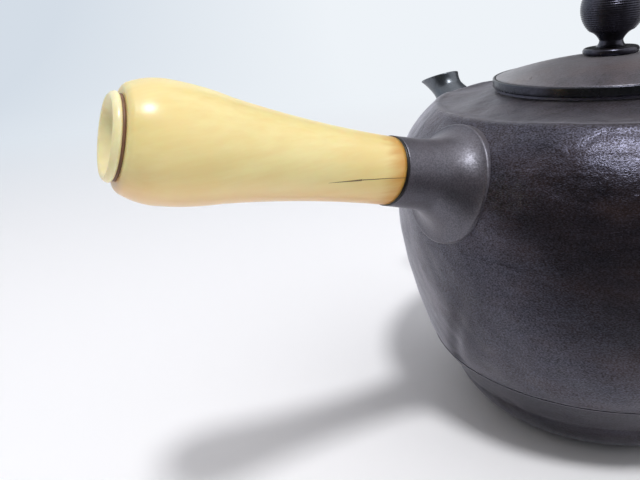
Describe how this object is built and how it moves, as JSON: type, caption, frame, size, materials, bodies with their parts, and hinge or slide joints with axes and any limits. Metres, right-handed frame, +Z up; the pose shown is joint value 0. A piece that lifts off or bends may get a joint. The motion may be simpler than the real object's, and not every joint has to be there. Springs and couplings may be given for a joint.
{
  "type": "side-handled teapot",
  "caption": "Round dark metal teapot with a side handle in a flared socket, short rising spout and domed lift-off lid with ball knob.",
  "frame": {"origin": "on the table under the middle of the pot, at the centre of its flat base", "axes": "+Z up along the pot's axis, -X along the handle, +Y along the spout"},
  "size_m": [0.1714, 0.1254, 0.1045],
  "materials": {
    "hammered_iron": "hammered, dark patina",
    "collar_iron": "plain, dark",
    "socket_iron": "smooth, satin",
    "lid_iron": "matt patina",
    "rim_iron": "polished black",
    "knob_iron": "turned, black",
    "pale_grip": "turned and polished, pale",
    "dark_horn": "dark, satin"
  },
  "bodies": {
    "pot": {"body_shell": "hammered_iron", "base_pan": "hammered_iron", "mouth_collar": "collar_iron", "spout_tube": "hammered_iron", "strainer_plate": "collar_iron", "handle_socket": "socket_iron", "tang_rod": "collar_iron", "spacer_ring": "dark_horn", "grip": "pale_grip", "end_band": "dark_horn", "end_ring": "pale_grip"},
    "lid": {"lid_plate": "lid_iron", "lid_rim": "rim_iron", "lid_skirt": "collar_iron", "knob_seat": "knob_iron"},
    "knob": {"knob_ball": "knob_iron", "knob_stem": "collar_iron", "stem_washer": "collar_iron"}
  },
  "joints": [
    {"name": "lid_lift", "type": "slide", "parent": "pot", "child": "lid", "axis": [0, 0, 1], "range_m": [0, 0.06]},
    {"name": "knob_turn", "type": "hinge", "parent": "lid", "child": "knob", "pos_m": [0, 0, 0.09], "axis": [0, 0, 1], "continuous": true}
  ]
}
